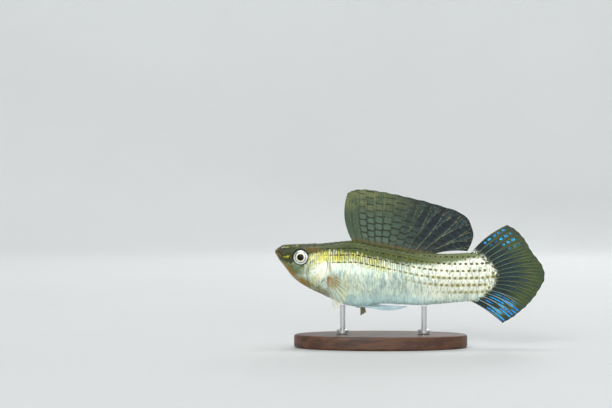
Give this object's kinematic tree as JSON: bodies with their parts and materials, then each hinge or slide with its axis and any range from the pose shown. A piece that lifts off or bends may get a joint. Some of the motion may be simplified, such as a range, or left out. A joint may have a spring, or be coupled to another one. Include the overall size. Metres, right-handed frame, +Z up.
{
  "type": "life-size display model of a male sailfin molly on a two-rod stand",
  "caption": "Male sailfin molly with its tall dorsal sail and tail fin spread, held level by two rods on an oval base.",
  "frame": {"origin": "centre of the bounding box at the underside of the stand's base", "axes": "-X towards the fish's snout, -Y towards the fish's left side, +Z up"},
  "size_m": [0.0806, 0.024, 0.0475],
  "materials": {
    "silver_skin": "scaled and glossy, olive on the back, silver-white on the flanks, with rows of brown and yellow spots",
    "eye": "polished, with a silver iris and a black pupil",
    "fin_web": "translucent grey-green web with dark rays and spots, and blue streaks on the tail",
    "pale_web": "translucent pale web with whitish rays",
    "dark_wood": "satin varnish",
    "brushed_steel": "brushed"
  },
  "bodies": {
    "root": {"head": "silver_skin", "lower_jaw": "silver_skin", "gill_cover_left": "silver_skin", "gill_cover_right": "silver_skin", "trunk": "silver_skin", "tail_stalk": "silver_skin", "eye_left": "eye", "eye_right": "eye", "dorsal_fin": "fin_web", "caudal_fin": "fin_web", "pectoral_fin_left": "pale_web", "pectoral_fin_right": "pale_web", "pelvic_fin_left": "pale_web", "pelvic_fin_right": "pale_web", "gonopodium": "pale_web", "stand_base": "dark_wood", "stand_rod_front": "brushed_steel", "stand_rod_rear": "brushed_steel"}
  },
  "joints": []
}
